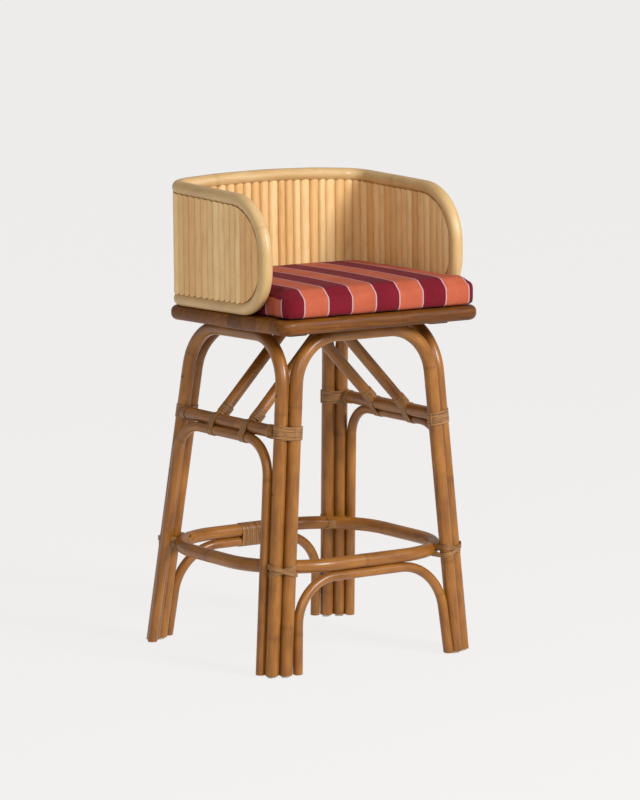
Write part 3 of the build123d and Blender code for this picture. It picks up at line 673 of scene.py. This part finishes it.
def binding(name, strips, *replaced):
    """Join the strips of one binding into a single piece."""
    whole = strips[0]
    with bpy.context.temp_override(active_object=whole, selected_editable_objects=strips):
        bpy.ops.object.join()
    whole.name = whole.data.name = name
    return finish_piece(whole, "rattan_peel", "frame", *replaced)


for side, side_name in SIDES.items():
    for end, end_name in ENDS.items():
        corner_name = f"{side_name}_{end_name}"
        # flat band round the leg pair, level with the stretchers
        a, b = side_leg(side, end, RAIL_Z), end_leg(side, end, RAIL_Z)
        axis = (side_leg(side, end, RAIL_Z + 1) - a).normalized()
        row = (b - a).normalized()
        out = axis.cross(row).normalized()
        row = out.cross(axis)
        middle = (a + b) / 2
        gap = (b - a).length / 2
        loop = loop_round("band", [(-gap, 0, LEG_CANE / 2), (gap, 0, LEG_CANE / 2)], middle, row, out)
        strips = [turns("band", loop, axis, 5, 5.5 * MM, climb=0.6, width=5.3 * MM)]
        fold_at = middle + row * (gap + LEG_CANE / 2 + 1.35 * PEEL_THICK)
        fold = route("fold", [fold_at - axis * 14 * MM, fold_at + axis * 14 * MM], [0, 0])
        strips.append(turns("fold", fold, out, 1, 0.0, width=4.0 * MM, climb=0.0))
        binding(f"corner_binding_{corner_name}", strips, f"corner_wrap_{corner_name}")

        # crossed turns round the leg pair and the ring's corner
        centre = Vector((side * (RING_HALF_X - RING_BEND), RING_CENTRE_Y + end * (RING_HALF_Y - RING_BEND),
                         RING_Z))
        x, y = pair_middle(side, end, RING_Z)
        touch = centre + (Vector((x, y, RING_Z)) - centre).normalized() * RING_BEND
        a, b = side_leg(side, end, RING_Z), end_leg(side, end, RING_Z)
        row = (b - a).normalized()
        strips = []
        for lift, lean in ((0.0, 0.30), (PEEL_THICK, -0.30)):
            loop = loop_round("cross", [(a.x, a.y, LEG_CANE / 2), (b.x, b.y, LEG_CANE / 2),
                                        (touch.x, touch.y, RING_CANE / 2)],
                              (0, 0, RING_Z), (1, 0, 0), (0, 1, 0), lift)
            strips.append(turns("cross", loop, (0, 0, 1), 3, 3.5 * MM, width=3.3 * MM, slope=row * lean,
                                centre=(a + b) / 2, climb=0.0))
        binding(f"ring_binding_{corner_name}", strips, f"ring_wrap_{corner_name}")

        # strap at the brace's foot: turns round stretcher and inner arch, and a coil on the brace itself
        foot_y = BRACE_ROWS[end] + BRACE_SKEW * side
        inner_x = inner_leg(side, -1, inner_top_z).x
        slope = brace_slope[end]
        strips = []
        loop = loop_round("strap", [(side * rail_x, RAIL_Z, RAIL_CANE / 2),
                                    (inner_x, inner_top_z, THIN_CANE / 2)],
                          (0, foot_y, 0), (1, 0, 0), (0, 0, 1))
        strips.append(turns("strap", loop, (0, 1, 0), 4, 4.9 * MM, width=4.7 * MM, climb=0.4))
        climb = Vector((-side * math.cos(slope), -BRACE_SKEW / rail_x * math.cos(slope), math.sin(slope)))
        climb.normalize()
        over = Vector((0, 1, 0)).cross(climb).normalized()
        beside = climb.cross(over)
        middle = Vector((side * rail_x, foot_y, RAIL_Z)) + climb * 27 * MM
        loop = loop_round("coil", [(0, 0, BRACE_CANE / 2)], middle, over, beside)
        strips.append(turns("coil", loop, climb, 5, 4.6 * MM, width=4.4 * MM))
        binding(f"brace_binding_{corner_name}", strips, f"brace_strap_{corner_name}")

# a narrow coil round each stretcher end
strips = []
for side in SIDES:
    for end in ENDS:
        at_y = side_leg(side, end, RAIL_Z).y - end * (LEG_CANE / 2 + 10 * MM)
        loop = loop_round("end", [(side * rail_x, RAIL_Z, RAIL_CANE / 2)], (0, at_y, 0), (1, 0, 0), (0, 0, 1))
        strips.append(turns("end", loop, (0, 1, 0), 3, 4.2 * MM, width=4.1 * MM))
binding("stretcher_end_bindings", strips, "stretcher_end_wraps")

# the coil over the ring's scarf joint also holds the back lower arch
loop = loop_round("coil", [(ring_rear, RING_Z, RING_CANE / 2), (ring_rear, lower_top_z, THIN_CANE / 2)],
                  (JOINT_X, 0, 0), (0, 1, 0), (0, 0, 1))
JOINT_TURNS = 14
coil = turns("coil", loop, (1, 0, 0), JOINT_TURNS, JOINT_LENGTH / JOINT_TURNS, width=JOINT_LENGTH / 14.6)
binding("ring_joint_binding", [coil], "ring_joint_wrap")

# ------------------------------------------------------------------ CAD nodes that keep their shape
for name, material in (("seat_board", board_wood), ("corner_blocks", board_wood), ("foot_glides", nylon),
                       ("leg_pins", plug)):
    for held in nodes[name].material_slots:
        held.material = material

# ------------------------------------------------------------------ cushion
EAR_HALF_X, EAR_FRONT_Y, EAR_CORNER = 234.0 * MM, -214.0 * MM, 26.0 * MM
CUSHION_GAP, CUSHION_CORNER = 2.0 * MM, 24.0 * MM
BOARD_TOP = BOARD_THICK / 2
STRIPE, STRIPE_SHIFT = 57.5 * MM, 11.5 * MM       # stripe pitch, and the middle stripe's place off centre
PIPE_LINE = 2.7 * MM                             # pale line between two stripes
BOXING = 33.0 * MM                               # height of the side panels
SIDE_STRIPE, SIDE_STRIPE_Y = 75.5 * MM, -147.0 * MM   # width and middle of the orange stripe on a side panel
EAR_SHIFT = 3.0 * MM                             # the cushion lies a little to the right
PAD_LOW, PAD_HEIGHT = 3.0 * MM, 42.0 * MM        # the filling before it swells
PAD_START = 1.0 * MM                             # the filling starts this much smaller all round
PLAN_CAP, RISE_CAP = 2.5 * MM, 14.0 * MM         # and moves at most so far sideways and upwards
CROWN_BACK, CROWN_MIDDLE = 9.0 * MM, 3.0 * MM    # the filling is fuller towards the back and the middle
EDGE_LIFT, LIFT_REACH = 8.0 * MM, 26.0 * MM      # the underside curls up along its front and sides
EDGE_ROLL, ROLL_REACH = 7.0 * MM, 46.0 * MM      # and the top rolls over along its front
GROOVE, GROOVE_REACH = 1.0 * MM, 4.0 * MM        # depth and half width of the seam's groove
LAST_FRAME = 20
inner_x = tub_x - TUB_CANE / 2 - CUSHION_GAP
inner_rear = tub_rear - TUB_CANE / 2 - CUSHION_GAP
ear_rear = ARM_FRONT_Y - TUB_CANE / 2 - CUSHION_GAP

# woven outdoor cloth: wide dyed stripes with a pale line between, matt, thread texture in the bump
cloth, tree, shader = new_material("woven_acrylic_striped", Roughness=0.9, Specular_IOR_Level=0.15,
                                   Sheen_Weight=0.02, Sheen_Roughness=0.5)
panel = add_node(tree, "ShaderNodeAttribute", attribute_name="panel_place")
split = add_node(tree, "ShaderNodeSeparateXYZ", {0: panel.outputs["Vector"]})
ratio = add_node(tree, "ShaderNodeMath", {0: split, 1: STRIPE}, **DIVIDE)
across = add_node(tree, "ShaderNodeMath", {0: ratio, 1: 1.0}, operation="PINGPONG")
near = add_node(tree, "ShaderNodeMath", {0: across, 1: 0.5}, **SUBTRACT)
is_orange = add_node(tree, "ShaderNodeMath", {0: near, 1: 0.0}, operation="GREATER_THAN")
apart = add_node(tree, "ShaderNodeMath", {0: near}, operation="ABSOLUTE")
pale = add_node(tree, "ShaderNodeMath", {0: apart, 1: PIPE_LINE / 2 / STRIPE}, operation="LESS_THAN")
coords = add_node(tree, "ShaderNodeTexCoord")
# threads 0.5 mm apart are too fine to show, so the slub is drawn about 2 mm wide
slub = noise(tree, coords.outputs["Object"], (2 * MM, 2 * MM, 2 * MM), 3.0)
drape = noise(tree, coords.outputs["Object"], (50 * MM, 50 * MM, 50 * MM), 2.0)
mixed = add_node(tree, "ShaderNodeMix", {0: 0.5, 2: slub, 3: drape})
orange = add_node(tree, "ShaderNodeValToRGB", {0: mixed},
                  stops=[(0.3, "#9c4730"), (0.5, "#a85239"), (0.7, "#b25e44")])
wine = add_node(tree, "ShaderNodeValToRGB", {0: mixed},
                stops=[(0.3, "#5a0a18"), (0.5, "#680f1d"), (0.7, "#741626")])
band = add_node(tree, "ShaderNodeMix", {0: is_orange, 6: wine, 7: orange}, data_type="RGBA")
lined = add_node(tree, "ShaderNodeMix", {0: pale, 6: band.outputs[2], 7: hex_colour("#ad8e94")},
                 data_type="RGBA")
paint(tree, shader, lined.outputs[2], slub, 0.3 * MM, 0.35)


def rounded_outline(corners):
    """Points round a plan outline; each corner is (x, y, radius), and a radius of 0 is square."""
    points = []
    count = len(corners)
    for i, (x, y, radius) in enumerate(corners):
        here = Vector((x, y))
        if radius == 0:
            points.append(here)
            continue
        before = (Vector(corners[i - 1][:2]) - here).normalized()
        after = (Vector(corners[(i + 1) % count][:2]) - here).normalized()
        centre = here + (before + after) * radius
        for k in range(7):
            turn = math.pi / 2 * k / 6
            points.append(centre - after * radius * math.cos(turn) - before * radius * math.sin(turn))
    return points


ex, ey, er = EAR_HALF_X - PAD_START, EAR_FRONT_Y + PAD_START, ear_rear - PAD_START
ix, iy = inner_x - PAD_START, inner_rear - PAD_START
plan = rounded_outline([
    (EAR_SHIFT - ex, ey, EAR_CORNER), (EAR_SHIFT + ex, ey, EAR_CORNER), (EAR_SHIFT + ex, er, 0), (ix, er, 0),
    (ix, iy, CUSHION_CORNER), (-ix, iy, CUSHION_CORNER), (-ix, er, 0), (EAR_SHIFT - ex, er, 0)])
work = bmesh.new()
base = work.faces.new([work.verts.new((p.x, p.y, BOARD_TOP + PAD_LOW)) for p in plan])
raised = bmesh.ops.extrude_face_region(work, geom=[base])
bmesh.ops.translate(work, verts=[v for v in raised["geom"] if isinstance(v, bmesh.types.BMVert)],
                    vec=(0, 0, PAD_HEIGHT))
bmesh.ops.recalc_face_normals(work, faces=work.faces[:])
mesh = bpy.data.meshes.new("seat_cushion_pad")
work.to_mesh(mesh)
work.free()
pad = bpy.data.objects.new("seat_cushion_pad", mesh)
scene.collection.objects.link(pad)
remesh = pad.modifiers.new("remesh", "REMESH")
remesh.mode, remesh.voxel_size = "VOXEL", 6 * MM


def keep_result(obj):
    """Replace an object's mesh by its evaluated one and drop its modifiers."""
    graph = bpy.context.evaluated_depsgraph_get()
    result = bpy.data.meshes.new_from_object(obj.evaluated_get(graph), depsgraph=graph)
    obj.modifiers.clear()
    obj.data = result


keep_result(pad)
rest = [v.co.copy() for v in pad.data.vertices]
swelling = pad.modifiers.new("swelling", "CLOTH")
swelling.settings.use_pressure = True
swelling.settings.uniform_pressure_force = 4.0
swelling.settings.effector_weights.gravity = 0.0
swelling.settings.tension_stiffness = 15
swelling.settings.compression_stiffness = 15
swelling.point_cache.frame_start, swelling.point_cache.frame_end = 1, LAST_FRAME
for number in range(1, LAST_FRAME + 1):
    scene.frame_set(number)
keep_result(pad)
scene.frame_set(1)

# the swelling is capped, the underside rests flat on the board, and the sides stay clear of the tub
floor_z = BOARD_TOP + 0.6 * MM
for vertex, start in zip(pad.data.vertices, rest):
    move = vertex.co - start
    sideways = math.hypot(move.x, move.y)
    held = min(1.0, PLAN_CAP / max(sideways, 1e-9))
    place = start + Vector((move.x * held, move.y * held, max(-RISE_CAP, min(RISE_CAP, move.z))))
    place.z = max(place.z, floor_z)
    if place.y > ear_rear:
        place.x = max(-inner_x, min(inner_x, place.x))
        place.y = min(place.y, inner_rear)
    vertex.co = place
finer = pad.modifiers.new("finer", "SUBSURF")
finer.levels = finer.render_levels = 1
keep_result(pad)

# crown, curled underside and rolled front edge
top_z = max(v.co.z for v in pad.data.vertices)
for vertex in pad.data.vertices:
    x, y, z = vertex.co
    share = max(0.0, (z - floor_z) / (top_z - floor_z))
    back = (y - EAR_FRONT_Y) / (inner_rear - EAR_FRONT_Y)
    middle = (1 - (x / EAR_HALF_X) ** 2) * math.sin(math.pi * back)
    vertex.co.z += share * (CROWN_BACK * back + CROWN_MIDDLE * middle)
    inside = min(EAR_HALF_X - abs(x - EAR_SHIFT), y - EAR_FRONT_Y)
    if y < ear_rear + ROLL_REACH:
        lift = max(0.0, 1 - max(inside, 0.0) / LIFT_REACH) ** 2
        roll = max(0.0, 1 - max(y - EAR_FRONT_Y, 0.0) / ROLL_REACH) ** 2
        vertex.co.z += EDGE_LIFT * lift * (1 - share) * (y < ear_rear) - EDGE_ROLL * roll * share

# seams along the top of the side panels: a shallow groove, and the cloth's own stripes on each panel
seam_z = BOARD_TOP + EDGE_LIFT + BOXING
for vertex in pad.data.vertices:
    x, y, z = vertex.co
    if y < ear_rear:
        reach = math.hypot(EAR_HALF_X - abs(x - EAR_SHIFT) - 3 * MM, z - seam_z)
        if reach < GROOVE_REACH:
            vertex.co.x -= math.copysign(GROOVE * (1 - reach / GROOVE_REACH), x)
            vertex.co.z -= 0.6 * GROOVE * (1 - reach / GROOVE_REACH)
places = pad.data.attributes.new("panel_place", "FLOAT_VECTOR", "CORNER")
values = []
for face in pad.data.polygons:
    centre = face.center
    on_side = centre.z < seam_z and abs(face.normal.x) > 0.5 and centre.y > EAR_FRONT_Y + 0.8 * EAR_CORNER
    for index in face.vertices:
        co = pad.data.vertices[index].co
        along_side = (co.y - SIDE_STRIPE_Y) * STRIPE / SIDE_STRIPE + STRIPE
        values += [along_side if on_side else co.x - STRIPE_SHIFT, 0, 0]
places.data.foreach_set("vector", values)
for face in pad.data.polygons:
    face.use_smooth = True
pad.data.materials.append(cloth)
pad.data.transform(seat)
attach(pad, "cushion")
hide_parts("seat_cushion")

# ------------------------------------------------------------------ light and floor
world = bpy.data.worlds.new("studio")
scene.world = world
world.use_nodes = True
backdrop = world.node_tree.nodes["Background"]
backdrop.inputs[0].default_value = hex_colour("#f0eeed")
backdrop.inputs[1].default_value = 0.44

FLOOR_HALF = 90.0
mesh = bpy.data.meshes.new("floor")
mesh.from_pydata([(-FLOOR_HALF, -FLOOR_HALF, 0), (FLOOR_HALF, -FLOOR_HALF, 0), (FLOOR_HALF, FLOOR_HALF, 0),
                  (-FLOOR_HALF, FLOOR_HALF, 0)], [], [(0, 1, 2, 3)])
floor = bpy.data.objects.new("floor", mesh)
scene.collection.objects.link(floor)
# lit paper sweep: mostly glow of its own, so shadows stay faint
paper, tree, shader = new_material(
    "studio_paper", Base_Color=(0.06, 0.06, 0.06, 1), Roughness=1.0, Specular_IOR_Level=0.0,
    Emission_Color=hex_colour("#f0eeed"), Emission_Strength=0.955)
mesh.materials.append(paper)


def area_light(name, place, target, size, power):
    """A square soft light at a place, turned to a target."""
    data = bpy.data.lights.new(name, "AREA")
    data.shape, data.size, data.energy = "SQUARE", size, power
    light = bpy.data.objects.new(name, data)
    scene.collection.objects.link(light)
    light.location = place
    light.rotation_euler = (Vector(target) - Vector(place)).to_track_quat("-Z", "Y").to_euler()


area_light("key", (1.3, -4.4, 2.9), (0, 0, 0.6), 1.5, 255)
area_light("fill", (-2.6, -3.9, 3.0), (0, 0, 0.6), 1.5, 60)
